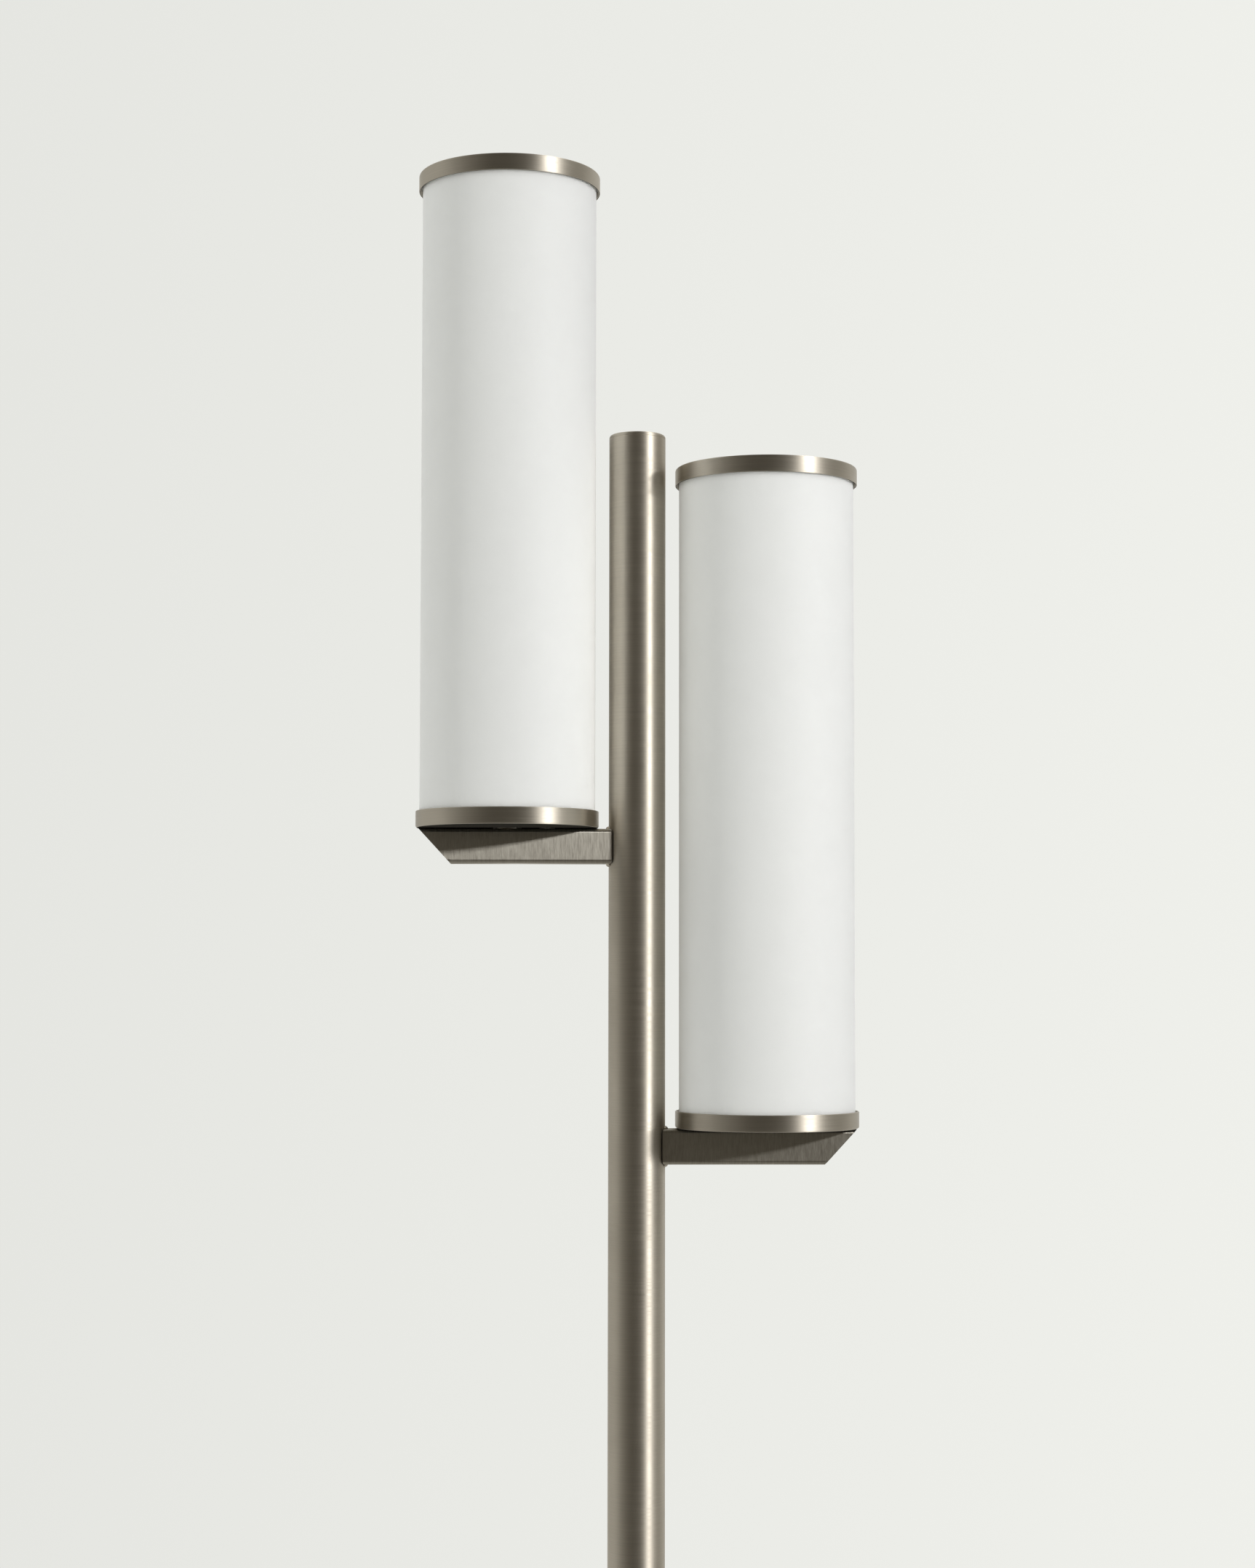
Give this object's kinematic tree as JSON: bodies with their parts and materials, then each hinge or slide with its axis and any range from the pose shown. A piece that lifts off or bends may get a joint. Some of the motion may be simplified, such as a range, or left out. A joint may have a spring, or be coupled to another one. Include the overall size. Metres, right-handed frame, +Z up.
{
  "type": "pole floor lamp",
  "caption": "Brushed metal pole floor lamp with upright opal tube lights on short arms at staggered heights, standing on a weighted round base.",
  "frame": {"origin": "on the pole's axis at the floor", "axes": "+Z up the pole; the arms lie along X with the higher light on the -X side; -Y is the front"},
  "size_m": [0.3, 0.3017, 1.65],
  "materials": {
    "pole": "satin nickel, brushed along the tube",
    "arm": "satin nickel, brushed across the arm",
    "weld": "dressed weld, plated satin nickel",
    "cup": "satin nickel, turned and brushed",
    "base_cover": "spun and brushed, satin nickel",
    "plated_part": "fine turned, nickel plated",
    "zinc_part": "zinc plated",
    "iron": "cast, painted black",
    "rubber": "matt",
    "black_plastic": "fine texture",
    "silicone": "translucent grey, matt",
    "nylon": "natural",
    "flex": "round flex, smooth sheath",
    "holder": "moulded, glossy",
    "brass": "plain",
    "bulb_cap": "pressed",
    "bulb_tube": "opal white",
    "shade": "opal, satin outside"
  },
  "bodies": {
    "root": {"base_pad": "rubber", "base_weight": "iron", "base_cover": "base_cover", "cord_bushing": "black_plastic", "base_bolt": "zinc_part", "base_washer": "zinc_part", "pole_foot_slug": "zinc_part", "pole_lower": "pole", "pole_coupler": "zinc_part", "pole_upper": "pole", "pole_cap": "pole", "switch_body": "black_plastic", "switch_ring_nut": "plated_part", "switch_spring": "zinc_part", "flex_main": "flex", "wire_connector": "black_plastic", "flex_left": "flex", "flex_right": "flex", "arm_left": "arm", "arm_end_plate_left": "arm", "arm_welds_left": "weld", "tray_spacer_left": "plated_part", "tray_left": "cup", "tray_gasket_left": "silicone", "stud_left": "zinc_part", "stud_nuts_left": "zinc_part", "wire_bush_left": "nylon", "lampholder_left": "holder", "screw_shell_left": "brass", "bulb_cap_left": "bulb_cap", "bulb_tube_left": "bulb_tube", "arm_right": "arm", "arm_end_plate_right": "arm", "arm_welds_right": "weld", "tray_spacer_right": "plated_part", "tray_right": "cup", "tray_gasket_right": "silicone", "stud_right": "zinc_part", "stud_nuts_right": "zinc_part", "wire_bush_right": "nylon", "lampholder_right": "holder", "screw_shell_right": "brass", "bulb_cap_right": "bulb_cap", "bulb_tube_right": "bulb_tube"},
    "button": {"switch_button": "black_plastic"},
    "left_tube": {"shade_tube_left": "shade"},
    "left_cap": {"shade_cap_left": "cup", "cap_gasket_left": "silicone"},
    "right_tube": {"shade_tube_right": "shade"},
    "right_cap": {"shade_cap_right": "cup", "cap_gasket_right": "silicone"}
  },
  "joints": [
    {"name": "left_tube_lift", "type": "slide", "parent": "root", "child": "left_tube", "axis": [0, 0, 1], "range_m": [0, 0.45]},
    {"name": "left_cap_lift", "type": "slide", "parent": "left_tube", "child": "left_cap", "axis": [0, 0, 1], "range_m": [0, 0.04]},
    {"name": "right_tube_lift", "type": "slide", "parent": "root", "child": "right_tube", "axis": [0, 0, 1], "range_m": [0, 0.45]},
    {"name": "right_cap_lift", "type": "slide", "parent": "right_tube", "child": "right_cap", "axis": [0, 0, 1], "range_m": [0, 0.04]},
    {"name": "foot_switch_press", "type": "slide", "parent": "root", "child": "button", "axis": [0, 0, -1], "range_m": [0, 0.003], "stiffness_N_per_m": 600, "springref_m": -0.004, "deforming": ["switch_spring"]}
  ]
}
